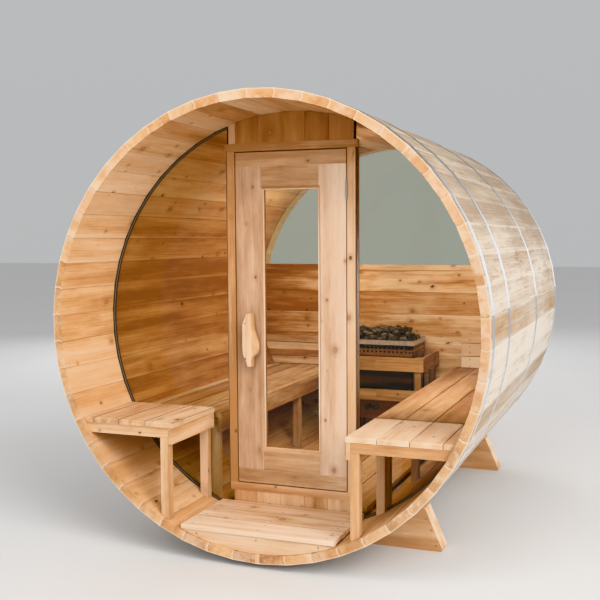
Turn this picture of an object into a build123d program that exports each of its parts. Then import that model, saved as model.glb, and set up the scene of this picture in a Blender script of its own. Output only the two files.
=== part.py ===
from build123d import *
import os
from math import cos, pi, radians, sin, sqrt, tan

# Barrel sauna with a front porch, in millimetres.
# X runs to the right seen from the porch, Y runs from the porch to the rear, Z is up.
# The origin is on the ground, midway along the barrel and under its axis.

# Stave shell
length = 2220.0
outer_radius = 977.0  # to the outer flats of the staves
stave_thickness = 38.0
stave_count = 50
staves_per_node = 5
stave_turn = 2.3  # degrees from the top to the middle of the first stave
joint_gap = 0.4
joint_land = 7.0  # flat beside the bead and the cove
bead_rise = 3.5
ground_clearance = 23.0
seat_gap = 0.3  # between a piece and what it rests on
tip_gap = 0.4  # between boards that lie side by side in one group

# Grooves cut round the inside of the staves
groove_width = 11.0
groove_depth = 6.3
front_glass_place = 423.0  # middle of the front groove, from the porch edge
rear_glass_inset = 105.0  # middle of the rear groove, from the rear edge

# Steel hoops
hoop_end_inset = 49.0
hoop_glass_offset = 5.0  # behind the front panes
hoop_width = 46.0
hoop_thickness = 1.5
hoop_clearance = 0.2
hoop_gap_angle = 3.0
hoop_gap_place = 215.0  # degrees from +X, on the lower left side
lug_length = 30.0
lug_height = 26.0
lug_thickness = 5.0
tension_rod_radius = 5.0
tension_rod_side_count = 12
tension_rod_overhang = 28.0
nut_radius = 9.0
nut_height = 9.0

# Front wall
glass_thickness = 8.0
frame_face_forward = 22.0  # of the middle of the front groove
frame_depth = 56.0
frame_width = 38.0
frame_head_height = 36.0
opening_half_width = 272.0
transom_rise = 132.5  # from the frame's head to the staves, in the middle
sill_rise = 86.5  # from the deck to the door opening
frame_glass_rebate = 6.0
stop_width = 10.0
stop_depth = 6.0
wall_board_thickness = 38.0
wall_board_setback = 2.0  # behind the face of the frame
transom_inset = 8.0
transom_first_board = 35.0
transom_board_count = 5
lower_panel_inset = 17.0
lower_board_count = 5
gasket_height = 9.0
gasket_depth = 7.0

# Door
door_gap = 5.0
door_thickness = 44.0
door_setback = 1.0  # behind the face of the frame
stile_width = 129.0
top_rail_height = 62.0
bottom_rail_height = 64.5
door_glass_inset = 163.0  # from the top and the bottom of the door
door_glass_thickness = 6.0
door_glass_rebate = 8.0
door_glass_clearance = 0.3
door_glass_bevel = 9.0
handle_inset = 84.0  # from the free edge of the door to the middle of the handle
handle_height = 671.0  # from the bottom of the door to the middle of the handle
handle_thickness = 28.0
handle_standoff = 24.0
handle_post_radius = 12.0
handle_post_x = -16.0  # from the middle of the handle
handle_post_heights = (76.0, -85.0)

# Hinges
hinge_height = 84.0
hinge_insets = (175.0, 202.0)  # from the top and from the bottom of the door
hinge_pin_radius = 3.0
hinge_knuckle_radius = 5.5
hinge_plate_thickness = 1.6
hinge_plate_depth = 34.0
hinge_pin_forward = 5.2  # of the frame face
hinge_bore_clearance = 0.08
hinge_end_clearance = 0.3

# Rear wall
rear_board_height = 137.0
rear_wall_top = 178.0
rear_cap_height = 34.0
rear_cap_overhang = 6.0
rear_glass_rebate = 7.0
tongue_clearance = 0.4
board_chamfer = 2.0

# Porch deck
deck_rise = 93.0  # from the lowest stave to the top of the deck
deck_thickness = 18.0
deck_end_clearance = 16.5  # from the staves, under the boards
deck_board_gap = 4.0
deck_board_count = 3
deck_front_place = 2.0
deck_wall_gap = 4.0
deck_nose_radius = 8.0
fascia_setback = 10.0
fascia_thickness = 20.0
joist_thickness = 38.0

# Duckboard floor
floor_rise = 108.0  # from the lowest stave to the top of the floor
floor_board_thickness = 20.0
floor_board_width = 134.0
floor_board_gap = 6.0
floor_board_count = 5
floor_front_gap = 2.0
floor_back_gap = 8.0
floor_joist_count = 3
floor_joist_inset = 75.0

# Benches
bench_board_width = 130.0
bench_board_gap = 3.3
bench_board_thickness = 22.0
bench_chamfer = 3.0
bench_edge = 395.5  # from the middle to the porch benches and the right inner bench
bench_rise = 432.0  # of those benches over the deck
left_inner_bench_edge = 375.0
left_inner_bench_rise = 387.0  # over the floor
porch_bench_front = 16.0
porch_bench_back_gap = 1.7
inner_bench_front_gap = 5.0
inner_bench_back_gap = 8.0
side_apron_thickness = 18.0
side_apron_height = 72.0
side_apron_setback = 2.0
bearer_height = 44.0
bench_timber = 38.0
porch_leg_count = 2
porch_leg_insets = (2.0, 2.0)
inner_leg_count = 4
inner_leg_insets = (14.0, 84.0)  # from the ends of the bench to the first and the last leg

# Backrest on the rear wall, over the right bench
backrest_inset = 43.0  # from the edge of the bench
backrest_rise = 232.0  # over the bench
backrest_slat_height = 77.0
backrest_slat_gap = 4.0
backrest_slat_thickness = 20.0
backrest_batten_depth = 28.0
backrest_batten_width = 34.0
backrest_batten_insets = (21.0, 319.0)
backrest_clearance = 3.0

# Heater
heater_half_width = 212.0
heater_depth = 285.0
heater_wall_gap = 66.0
heater_height = 603.0
heater_leg_height = 131.0
heater_sheet = 3.0
heater_rim_height = 26.0
heater_rim_out = 5.0
heater_corner = 14.0
heater_tray_depth = 24.0
heater_leg = 26.0
stone_rise = 66.0
stone_edge_rise = 14.0
stone_clearance = 4.0
stone_slope_inset = 46.0
knob_radius = 17.0
knob_depth = 20.0
knob_flute_count = 24
knob_height = 201.0  # over the floor
knob_places = (-15.0, -65.0)

# Guard rail round the heater
guard_side_gap = 55.0
guard_front_gap = 25.0
guard_back_gap = 2.0
guard_rail_thickness = 20.0
guard_height = 509.0
guard_top_rail_height = 80.0
guard_lower_rail_rise = 251.0
guard_lower_rail_height = 64.0
guard_post = 36.0

# Cradles
cradle_front_place = 452.0
cradle_back_inset = 222.0
cradle_thickness = 90.0
cradle_height = 192.0
cradle_horn = 60.0  # flat beside the round seat
cradle_spread = 85.0  # of each sloping end
cradle_horn_radius = 18.0
cradle_foot_radius = 10.0

# Values worked out from the sizes above
half_stave = pi / stave_count
inner_radius = outer_radius - stave_thickness
corner_radius = outer_radius / cos(half_stave)
axis_height = outer_radius + ground_clearance
bore_radius = inner_radius - seat_gap
groove_radius = inner_radius + groove_depth
glass_radius = groove_radius - seat_gap
rear_glass_place = length - rear_glass_inset
rear_wall_place = rear_glass_place - wall_board_thickness / 2

frame_face_place = front_glass_place - frame_face_forward
frame_back_place = frame_face_place + frame_depth
wall_board_place = frame_face_place + wall_board_setback
wall_back_place = wall_board_place + wall_board_thickness
frame_outer = opening_half_width + frame_width
glass_chord = frame_outer - frame_glass_rebate
glass_face_place = front_glass_place - glass_thickness / 2
glass_back_place = front_glass_place + glass_thickness / 2
deck_top = deck_rise - inner_radius
deck_half_length = (bore_radius**2 - (deck_top - deck_thickness) ** 2) ** 0.5 - deck_end_clearance
floor_top = floor_rise - inner_radius
opening_top = inner_radius - transom_rise - frame_head_height
opening_bottom = deck_top + sill_rise

door_half_width = opening_half_width - door_gap
door_top = opening_top - door_gap
door_bottom = opening_bottom + door_gap
door_face_place = frame_face_place + door_setback
door_opening_half = door_half_width - stile_width
door_glass_top = door_top - door_glass_inset
door_glass_bottom = door_bottom + door_glass_inset
hinge_x = opening_half_width - door_gap / 2
hinge_place = frame_face_place - hinge_pin_forward
hinge_heights = (door_top - hinge_insets[0], door_bottom + hinge_insets[1])

gasket_place = glass_face_place - seat_gap - gasket_depth
bench_top = deck_top + bench_rise
left_inner_bench_top = floor_top + left_inner_bench_rise
porch_bench_back = gasket_place - porch_bench_back_gap
inner_bench_front = glass_back_place + inner_bench_front_gap
inner_bench_back = rear_wall_place - inner_bench_back_gap
floor_front = wall_back_place + floor_front_gap
floor_back = rear_wall_place - floor_back_gap
backrest_edge = bench_edge + backrest_inset
backrest_top = bench_top + backrest_rise

heater_back = rear_wall_place - heater_wall_gap
heater_front = heater_back - heater_depth
heater_top = floor_top + heater_height
heater_base = floor_top + heater_leg_height
guard_half_width = heater_half_width + guard_side_gap + guard_rail_thickness
guard_front = heater_front - guard_front_gap - guard_rail_thickness
guard_back = rear_wall_place - guard_back_gap
guard_top = floor_top + guard_height


def from_front(place):
    """Y of a place that is measured from the porch edge."""
    return place - length / 2


def from_axis(height):
    """Z of a height that is measured from the barrel's axis."""
    return axis_height + height


def bar(x0, x1, place0, place1, height0, height1):
    """Square-edged timber between two corners, measured from the porch edge and the axis."""
    middle = Vector((x0 + x1) / 2, from_front((place0 + place1) / 2), from_axis((height0 + height1) / 2))
    return Pos(middle) * Box(abs(x1 - x0), abs(place1 - place0), abs(height1 - height0))


def drum(radius, place0, place1):
    """Round slice of the barrel's inside, between two places."""
    middle = Vector(0, from_front((place0 + place1) / 2), axis_height)
    return Pos(middle) * Rot(90, 0, 0) * Cylinder(radius, place1 - place0)


def in_barrel(piece, radius=bore_radius):
    """Piece with its ends cut to the round of the staves."""
    return piece & drum(radius, 0, length)


def prism(outline, place0, place1):
    """Face drawn in X and Z, run along Y between two places."""
    return extrude(Plane.XZ.offset(-from_front(place1)) * outline, place1 - place0, dir=(0, -1, 0))


def spread(first, last, count):
    """Evenly spaced places from the first to the last."""
    return [first + n * (last - first) / (count - 1) for n in range(count)]


def mirrored(pieces, side):
    """The same pieces on the left when side is -1."""
    if side > 0:
        return pieces
    return [mirror(piece, about=Plane.YZ) for piece in pieces]


def save(node, pieces):
    """Write the pieces of one node."""
    solids = []
    for piece in pieces:
        solids += piece.solids()
    export_step(Compound(children=solids) if len(solids) > 1 else solids[0], f"parts/{node}.step")


# Staves with a bead on one edge and a cove on the other, grooved for both end walls
def stave_outline():
    lean = joint_gap / 2 / cos(half_stave)
    high, low = outer_radius, inner_radius

    def edge(radius):
        return radius * tan(half_stave) - lean

    def bulge(sign):
        middle = (high + low) / 2
        x = sign * edge(middle) + bead_rise * cos(half_stave)
        return (x, middle - sign * bead_rise * sin(half_stave))

    upper, lower = high - joint_land, low + joint_land
    right = [(edge(high), high), (edge(upper), upper)]
    right_low = [(edge(lower), lower), (edge(low), low)]
    left_low = [(-edge(low), low), (-edge(lower), lower)]
    left = [(-edge(upper), upper), (-edge(high), high)]
    outline = Polyline(*right) + ThreePointArc(right[1], bulge(1), right_low[0])
    outline += Polyline(*right_low, *left_low)
    outline += ThreePointArc(left_low[1], bulge(-1), left[0]) + Polyline(*left, right[0])
    return make_face(outline)


def make_stave():
    stave = extrude(Plane.XZ.offset(-length / 2) * stave_outline(), length)
    for place in (front_glass_place, rear_glass_place):
        groove = Box(2 * stave_thickness + 2 * outer_radius * tan(half_stave), groove_width, groove_depth)
        stave -= Pos(0, from_front(place), inner_radius + groove_depth / 2) * groove
    return stave


def write_staves():
    stave = make_stave()
    for first in range(0, stave_count, staves_per_node):
        group = []
        for number in range(first, first + staves_per_node):
            angle = stave_turn + number * 360 / stave_count
            group.append(Pos(0, 0, axis_height) * Rot(0, angle, 0) * stave)
        save(f"staves_{first // staves_per_node + 1:02d}", group)


# Steel hoops, each closed by two lugs and a tension rod on the hidden lower side
def make_hoop(place):
    inner = corner_radius + hoop_clearance
    middle = Vector(0, from_front(place), axis_height)
    first_corner = 90 - stave_turn + 180 / stave_count - hoop_gap_place
    band = RegularPolygon(inner + hoop_thickness, stave_count) - RegularPolygon(inner, stave_count)
    band = extrude(Rot(0, 0, first_corner) * band, hoop_width / 2, both=True)
    open_angle = radians(hoop_gap_angle)
    reach = 2 * outer_radius
    half_gap = reach * tan(open_angle / 2)
    wedge = make_face(Polyline((0, 0), (reach, -half_gap), (reach, half_gap), (0, 0)))
    band -= extrude(wedge, hoop_width, both=True)
    lug_radius = inner + lug_height / 2
    for sign in (-1, 1):
        turn = sign * (hoop_gap_angle / 2 + 180 / pi * lug_thickness / 2 / lug_radius)
        band += Rot(0, 0, turn) * Pos(lug_radius, 0, 0) * Box(lug_height, lug_thickness, lug_length)
    rod_length = 2 * (lug_radius * tan(open_angle / 2) + lug_thickness + tension_rod_overhang)
    rod = extrude(RegularPolygon(tension_rod_radius, tension_rod_side_count), rod_length / 2, both=True)
    band += Pos(lug_radius + hoop_thickness, 0, 0) * Rot(90, 0, 0) * rod
    for sign in (-1, 1):
        nut_place = sign * (lug_radius * tan(open_angle / 2) + lug_thickness + nut_height / 2)
        nut = extrude(RegularPolygon(nut_radius, 6), nut_height / 2, both=True)
        band += Pos(lug_radius + hoop_thickness, nut_place, 0) * Rot(90, 0, 0) * nut
    return Pos(middle) * Rot(90, 0, 0) * Rot(0, 0, hoop_gap_place) * band


# Front wall: two panes in the front groove, the door frame and the boards over and under it
def make_panes():
    half = bar(glass_chord, outer_radius, glass_face_place, glass_back_place, -outer_radius, outer_radius)
    right = half & drum(glass_radius, glass_face_place, glass_back_place)
    return [right, mirror(right, about=Plane.YZ)]


def make_gaskets():
    back = gasket_place + gasket_depth
    ring = drum(bore_radius, gasket_place, back) - drum(bore_radius - gasket_height, gasket_place, back)
    right = ring & bar(frame_outer + seat_gap, outer_radius, gasket_place, back, -outer_radius, outer_radius)
    return [right, mirror(right, about=Plane.YZ)]


def frame_slot():
    """Slots that hold the straight edges of the panes."""
    half = glass_thickness / 2 + seat_gap
    return [
        bar(side * (glass_chord - seat_gap), side * (frame_outer + frame_width),
            front_glass_place - half, front_glass_place + half, -outer_radius, outer_radius)
        for side in (-1, 1)
    ]


def make_door_frame():
    """Two jambs under the head and on the sill, all slotted for the panes."""
    low, high = opening_bottom + tip_gap, opening_top - tip_gap
    pieces = [
        bar(side * opening_half_width, side * frame_outer, frame_face_place, frame_back_place, low, high)
        for side in (-1, 1)
    ]
    for edge, direction in ((opening_top, 1), (opening_bottom, -1)):
        pieces.append(bar(-frame_outer, frame_outer, frame_face_place, frame_back_place,
                          edge, edge + direction * frame_head_height))
    return [piece - frame_slot() for piece in pieces]


def make_door_stops():
    front = frame_back_place - stop_depth
    low, high = opening_bottom + tip_gap, opening_top - tip_gap
    stops = []
    for side in (-1, 1):
        outer = side * (opening_half_width - tip_gap)
        stops.append(bar(outer, side * (opening_half_width - stop_width), front, frame_back_place, low, high))
    half = opening_half_width - stop_width - tip_gap
    stops.append(bar(-half, half, front, frame_back_place, high - stop_width, high))
    stops.append(bar(-half, half, front, frame_back_place, low, low + stop_width))
    return stops


def upright_board(x0, x1, height0, height1):
    """Wall board with a small chamfer on its two front edges."""
    board = bar(x0 + tip_gap / 2, x1 - tip_gap / 2, wall_board_place, wall_back_place, height0, height1)
    front = board.edges().filter_by(Axis.Z).group_by(Axis.Y)[0]
    return in_barrel(chamfer(front, board_chamfer))


def make_transom():
    half = frame_outer - transom_inset
    edges = [-half] + spread(transom_first_board - half, half, transom_board_count + 1)
    base = opening_top + frame_head_height + seat_gap
    return [upright_board(x0, x1, base, outer_radius) for x0, x1 in zip(edges, edges[1:])]


def make_lower_panel():
    half = frame_outer - lower_panel_inset
    edges = spread(-half, half, lower_board_count + 1)
    top = opening_bottom - frame_head_height - seat_gap
    return [upright_board(x0, x1, -outer_radius, top) for x0, x1 in zip(edges, edges[1:])]


# Door: two stiles between full-width rails, with a second rail inside each, and one tall pane
def door_bar(x0, x1, height0, height1):
    return bar(x0, x1, door_face_place, door_face_place + door_thickness, height0, height1)


def door_glass_box(growth):
    """Block of the pane, or of the groove that takes it when growth is a clearance."""
    middle = door_face_place + door_thickness / 2
    half = door_glass_thickness / 2 + growth
    reach = door_glass_rebate + growth
    return bar(-door_opening_half - reach, door_opening_half + reach, middle - half, middle + half,
               door_glass_bottom - reach, door_glass_top + reach)


def glass_cut():
    """Groove for the pane, with the bevel round the front of its opening."""
    front = Plane.XZ.offset(-from_front(door_face_place))
    middle = Pos(0, from_axis((door_glass_top + door_glass_bottom) / 2))
    width = 2 * door_opening_half
    height = door_glass_top - door_glass_bottom
    wide = front * middle * Rectangle(width + 2 * door_glass_bevel, height + 2 * door_glass_bevel)
    bevel = extrude(wide, -door_glass_bevel, taper=45)
    return [door_glass_box(door_glass_clearance), bevel]


def make_stiles():
    groove = glass_cut()
    low = door_bottom + bottom_rail_height + tip_gap
    high = door_top - top_rail_height - tip_gap
    left = door_bar(-door_half_width, -door_opening_half, low, high) - groove
    right = door_bar(door_opening_half, door_half_width, low, high) - groove
    return [left, right]


def make_rails():
    groove = glass_cut()
    low = door_bottom + bottom_rail_height
    high = door_top - top_rail_height
    inner = door_opening_half - tip_gap
    top = door_bar(-door_half_width, door_half_width, high, door_top)
    upper = door_bar(-inner, inner, door_glass_top, high - tip_gap) - groove
    lower = door_bar(-inner, inner, low + tip_gap, door_glass_bottom) - groove
    bottom = door_bar(-door_half_width, door_half_width, door_bottom, low)
    return [top, upper, lower, bottom]


def make_handle():
    """Waney-edged slab on two posts."""
    edge = [
        (-20, 122), (-4, 125), (11, 122), (16, 95), (17, 66), (28, 20), (42, -30), (36, -60), (15, -80),
        (13, -101), (12, -121), (-2, -124), (-17, -121), (-25, -97), (-38, -74), (-41, -4), (-40, 66),
        (-31, 97), (-20, 122),
    ]
    outline = Curve() + [ThreePointArc(*edge[n:n + 3]) for n in range(0, len(edge) - 1, 2)]
    x = handle_inset - door_half_width
    height = door_bottom + handle_height
    front = door_face_place - handle_standoff - handle_thickness
    pieces = [prism(Pos(x, from_axis(height)) * make_face(outline), front, front + handle_thickness)]
    post = Rot(90, 0, 0) * Cylinder(handle_post_radius, handle_standoff - seat_gap)
    place = from_front(door_face_place - (handle_standoff - seat_gap) / 2)
    for post_height in handle_post_heights:
        pieces.append(Pos(x + handle_post_x, place, from_axis(height + post_height)) * post)
    return pieces


# Butt hinges: outer knuckles and pin on the jamb, middle knuckle on the door
def hinge_part(height, on_door):
    pin = Vector(hinge_x, from_front(hinge_place), from_axis(height))
    third = hinge_height / 3
    if on_door:
        plate_x = (-door_gap / 2, -door_gap / 2 + hinge_plate_thickness)
        knuckle = Cylinder(hinge_knuckle_radius, third - 2 * hinge_end_clearance)
    else:
        plate_x = (door_gap / 2 - hinge_plate_thickness, door_gap / 2)
        knuckle = Pos(0, 0, third) * Cylinder(hinge_knuckle_radius, third)
        knuckle += Pos(0, 0, -third) * Cylinder(hinge_knuckle_radius, third)
        knuckle += Cylinder(hinge_pin_radius, hinge_height)
    plate = Pos((plate_x[0] + plate_x[1]) / 2, hinge_plate_depth / 2, 0)
    plate *= Box(hinge_plate_thickness, hinge_plate_depth, hinge_height)
    if on_door:
        plate -= Cylinder(hinge_knuckle_radius + hinge_end_clearance, hinge_height)
        strap_height = third - 2 * hinge_end_clearance
        strap = Box(hinge_plate_thickness, 2 * hinge_knuckle_radius, strap_height)
        knuckle += Pos(plate_x[0] / 2 + plate_x[1] / 2, hinge_knuckle_radius / 2, 0) * strap
        knuckle -= Cylinder(hinge_pin_radius + hinge_bore_clearance, hinge_height)
    else:
        plate -= Cylinder(hinge_knuckle_radius + hinge_end_clearance, third + 2 * hinge_end_clearance)
    return Pos(pin) * (plate + knuckle)


# Rear wall: rabbeted boards up to a capping rail, and a half-moon pane above it
def make_rear_boards():
    back = rear_wall_place + wall_board_thickness
    tongue0 = rear_glass_place - groove_width / 2 + tongue_clearance
    tongue1 = rear_glass_place + groove_width / 2 - tongue_clearance
    boards = []
    high = rear_wall_top
    while high > -bore_radius:
        low = high - rear_board_height + tip_gap
        board = bar(-outer_radius, outer_radius, rear_wall_place, back, low, high)
        board = chamfer(board.edges().filter_by(Axis.X).group_by(Axis.Y)[0], board_chamfer)
        tongue = bar(-outer_radius, outer_radius, tongue0, tongue1, low, high)
        boards.append(in_barrel(board) + in_barrel(tongue, glass_radius))
        high -= rear_board_height
    return boards


def make_rear_cap():
    low = rear_wall_top + seat_gap
    high = low + rear_cap_height
    front = rear_wall_place - rear_cap_overhang
    back = rear_wall_place + wall_board_thickness + rear_cap_overhang
    cap = bar(-outer_radius, outer_radius, front, back, low, high)
    half = glass_thickness / 2 + seat_gap
    slot = bar(-outer_radius, outer_radius, rear_glass_place - half, rear_glass_place + half,
               high - rear_glass_rebate - seat_gap, high)
    return in_barrel(cap) - slot


def make_rear_glass():
    low = rear_wall_top + seat_gap + rear_cap_height - rear_glass_rebate
    front = rear_glass_place - glass_thickness / 2
    back = rear_glass_place + glass_thickness / 2
    return drum(glass_radius, front, back) & bar(-outer_radius, outer_radius, front, back, low, outer_radius)


# Porch deck on crescent joists, with a crescent fascia under its front edge
def deck_edges():
    """Front and back of each deck board, which share the depth of the porch."""
    depth = frame_face_place - deck_wall_gap - deck_front_place + deck_board_gap
    pitch = depth / deck_board_count
    fronts = [deck_front_place + n * pitch for n in range(deck_board_count)]
    return [(front, front + pitch - deck_board_gap) for front in fronts]


def make_deck():
    boards = []
    for n, (front, back) in enumerate(deck_edges()):
        board = bar(-deck_half_length, deck_half_length, front, back, deck_top - deck_thickness, deck_top)
        if n == 0:
            nose = board.edges().filter_by(Axis.X).group_by(Axis.Y)[0].sort_by(Axis.Z)[-1]
            board = fillet(nose, deck_nose_radius)
        boards.append(in_barrel(board))
    return boards


def crescent(half_width, place, thickness, top):
    return in_barrel(bar(-half_width, half_width, place, place + thickness, -outer_radius, top))


def make_deck_joists():
    top = deck_top - deck_thickness - seat_gap
    backs = [back for front, back in deck_edges()]
    places = [back + deck_board_gap / 2 - joist_thickness / 2 for back in backs[:-1]]
    places.append(backs[-1] - joist_thickness)
    return [crescent(deck_half_length, place, joist_thickness, top) for place in places]


# Benches: boards from front to back on bearers and legs, with an apron along the aisle
def bench_boards(edge, top, front, back):
    boards = []
    low = top - bench_board_thickness
    x = edge
    while x < inner_radius and x * x + low * low < bore_radius * bore_radius:
        board = bar(x, x + bench_board_width, front, back, low, top)
        sides = board.edges().filter_by(Axis.Y).group_by(Axis.Z)[-1]
        ends = board.edges().filter_by(Axis.X).group_by(Axis.Z)[-1]
        boards.append(in_barrel(chamfer(sides + ends, bench_chamfer)))
        x += bench_board_width + bench_board_gap
    return boards


def bench_frame(edge, top, front, back, legs, leg_insets):
    under = top - bench_board_thickness - seat_gap
    apron_x = edge + side_apron_setback
    inner_x = apron_x + side_apron_thickness + tip_gap
    apron_front = front + side_apron_setback
    apron_back = back - side_apron_setback
    apron_low = under - side_apron_height
    pieces = [bar(apron_x, apron_x + side_apron_thickness, apron_front, apron_back, apron_low, under)]
    for place in spread(front + leg_insets[0], back - leg_insets[1] - bench_timber, legs):
        bearer = bar(inner_x, outer_radius, place, place + bench_timber, under - bearer_height, under)
        leg_top = under - bearer_height - tip_gap
        leg = bar(inner_x, inner_x + bench_timber, place, place + bench_timber, -outer_radius, leg_top)
        pieces += [in_barrel(bearer), in_barrel(leg)]
    return pieces


# Duckboard floor inside
def make_floor():
    pitch = floor_board_width + floor_board_gap
    start = -(floor_board_count * pitch - floor_board_gap) / 2
    low = floor_top - floor_board_thickness
    return [
        in_barrel(bar(start + n * pitch, start + n * pitch + floor_board_width, floor_front, floor_back,
                      low, floor_top))
        for n in range(floor_board_count)
    ]


def make_floor_joists():
    half = (floor_board_count * (floor_board_width + floor_board_gap) - floor_board_gap) / 2
    top = floor_top - floor_board_thickness - seat_gap
    first = floor_front + floor_joist_inset
    last = floor_back - floor_joist_inset - joist_thickness
    return [crescent(half, place, joist_thickness, top) for place in spread(first, last, floor_joist_count)]


# Backrest slats on two battens
def make_backrest():
    batten0 = rear_wall_place - seat_gap - backrest_batten_depth
    slat1 = batten0 - tip_gap
    slat0 = slat1 - backrest_slat_thickness
    base = bench_top + backrest_clearance
    pieces = []
    high = backrest_top
    while high > base + backrest_slat_height / 2:
        low = max(high - backrest_slat_height, base)
        pieces.append(in_barrel(bar(backrest_edge, outer_radius, slat0, slat1, low, high)))
        high = low - backrest_slat_gap
    for inset in backrest_batten_insets:
        x = backrest_edge + inset
        pieces.append(in_barrel(bar(x, x + backrest_batten_width, batten0, batten0 + backrest_batten_depth,
                                    base, backrest_top - backrest_slat_gap)))
    return pieces


# Electric heater: folded sheet body with a rim, on four short legs, open at the top for the stones
def make_heater():
    back = heater_back
    wall = heater_sheet
    half = heater_half_width
    body = bar(-half, half, heater_front, back, heater_base, heater_top)
    body = fillet(body.edges().filter_by(Axis.Z), heater_corner)
    out = heater_rim_out
    low = heater_top - heater_rim_height
    rim = bar(-half - out, half + out, heater_front - out, back + out, low, heater_top)
    body += fillet(rim.edges().filter_by(Axis.Z), heater_corner)
    body -= bar(-half + wall, half - wall, heater_front + wall, back - wall,
                heater_base + wall, heater_top - heater_tray_depth - wall)
    body -= bar(-half + wall, half - wall, heater_front + wall, back - wall,
                heater_top - heater_tray_depth, heater_top)
    pieces = [body]
    for x in (-half + heater_corner, half - heater_corner - heater_leg):
        for place in (heater_front + heater_corner, back - heater_corner - heater_leg):
            leg = bar(x, x + heater_leg, place, place + heater_leg, floor_top, heater_base - seat_gap)
            pieces.append(leg)
    return pieces


def make_stones():
    """Heap of stones, as one low mound in the tray."""
    half = heater_half_width - heater_sheet - stone_clearance
    front = heater_front + heater_sheet + stone_clearance
    back = heater_back - heater_sheet - stone_clearance
    middle = from_front((front + back) / 2)
    base = from_axis(heater_top - heater_tray_depth + seat_gap)
    depth = back - front
    height = heater_tray_depth + stone_rise
    mound = Pos(0, middle, base + height / 2) * Box(2 * half, depth, height)
    top = mound.faces().sort_by(Axis.Z)[-1]
    return chamfer(top.edges(), stone_slope_inset, stone_rise - stone_edge_rise, reference=top)


def make_knobs():
    grip = Rot(90, 0, 0) * extrude(RegularPolygon(knob_radius, knob_flute_count), knob_depth / 2, both=True)
    y = from_front(heater_front - seat_gap - knob_depth / 2)
    return [Pos(x, y, from_axis(floor_top + knob_height)) * grip for x in knob_places]


# Wooden guard: posts on the floor with an upper and a lower rail on three sides
def make_guard_rails(top, height):
    inner_place = guard_front + guard_rail_thickness + tip_gap
    front = bar(-guard_half_width, guard_half_width, guard_front, guard_front + guard_rail_thickness,
                top - height, top)
    inner_x = guard_half_width - guard_rail_thickness
    side = bar(inner_x, guard_half_width, inner_place, guard_back, top - height, top)
    return [front, side, mirror(side, about=Plane.YZ)]


def make_guard_posts():
    post_x = guard_half_width - guard_rail_thickness - tip_gap
    front = guard_front + guard_rail_thickness + tip_gap
    posts = []
    for place in (front, guard_back - guard_post):
        post = bar(post_x - guard_post, post_x, place, place + guard_post, floor_top, guard_top)
        posts += [post, mirror(post, about=Plane.YZ)]
    return posts


# Plank cradle with sloping ends and a round seat for the barrel
def make_cradle(place):
    seat_radius = corner_radius + seat_gap
    depth = axis_height - cradle_height
    half_top = sqrt(seat_radius * seat_radius - depth * depth) + cradle_horn
    half_base = half_top + cradle_spread
    base = [(-half_base, 0), (half_base, 0)]
    top = [(half_top, cradle_height), (-half_top, cradle_height)]
    outline = make_face(Polyline(*base, *top, base[0]))
    feet = outline.vertices().sort_by(Axis.Y)[:2]
    outline = fillet(feet, cradle_foot_radius)
    horns = outline.vertices().sort_by(Axis.Y)[-2:]
    outline = fillet(horns, cradle_horn_radius)
    plank = prism(outline, place, place + cradle_thickness)
    return plank - drum(seat_radius, place, place + cradle_thickness)


os.makedirs("parts", exist_ok=True)

write_staves()
last_hoop = length - hoop_end_inset
hoop_places = [hoop_end_inset] + spread(front_glass_place + hoop_glass_offset, last_hoop, 3)
save("hoops", [make_hoop(place) for place in hoop_places])

save("front_glass", make_panes())
save("glass_gaskets", make_gaskets())
save("door_frame", make_door_frame())
save("door_stops", make_door_stops())
save("transom_boards", make_transom())
save("lower_boards", make_lower_panel())

save("door_stiles", make_stiles())
save("door_rails", make_rails())
save("door_glass", [door_glass_box(0)])
save("door_handle", make_handle())
save("door_hinge_leaves", [hinge_part(height, True) for height in hinge_heights])
save("frame_hinge_leaves", [hinge_part(height, False) for height in hinge_heights])

save("rear_boards", make_rear_boards())
save("rear_cap", [make_rear_cap()])
save("rear_glass", [make_rear_glass()])

save("deck_boards", make_deck())
save("deck_fascia", [crescent(deck_half_length, fascia_setback, fascia_thickness,
                              deck_top - deck_thickness - seat_gap)])
save("deck_joists", make_deck_joists())

porch_bench = (bench_edge, bench_top, porch_bench_front, porch_bench_back)
right_bench = (bench_edge, bench_top, inner_bench_front, inner_bench_back)
left_bench = (left_inner_bench_edge, left_inner_bench_top, inner_bench_front, inner_bench_back)
for side, name, inner_bench in ((1, "right", right_bench), (-1, "left", left_bench)):
    save(f"porch_bench_{name}", mirrored(bench_boards(*porch_bench), side))
    frame = bench_frame(*porch_bench, porch_leg_count, porch_leg_insets)
    save(f"porch_bench_frame_{name}", mirrored(frame, side))
    save(f"inner_bench_{name}", mirrored(bench_boards(*inner_bench), side))
    frame = bench_frame(*inner_bench, inner_leg_count, inner_leg_insets)
    save(f"inner_bench_frame_{name}", mirrored(frame, side))

save("floor_boards", make_floor())
save("floor_joists", make_floor_joists())
save("backrest", make_backrest())
save("heater_body", make_heater())
save("heater_stones", [make_stones()])
save("heater_knobs", make_knobs())
guard = make_guard_posts() + make_guard_rails(guard_top, guard_top_rail_height)
lower_rail_top = floor_top + guard_lower_rail_rise + guard_lower_rail_height
guard += make_guard_rails(lower_rail_top, guard_lower_rail_height)
save("heater_guard", guard)
save("cradle_front", [make_cradle(cradle_front_place)])
save("cradle_rear", [make_cradle(length - cradle_back_inset - cradle_thickness)])
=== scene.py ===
import bmesh
import bpy
import math
import random
from mathutils import Matrix, Vector, noise


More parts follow.
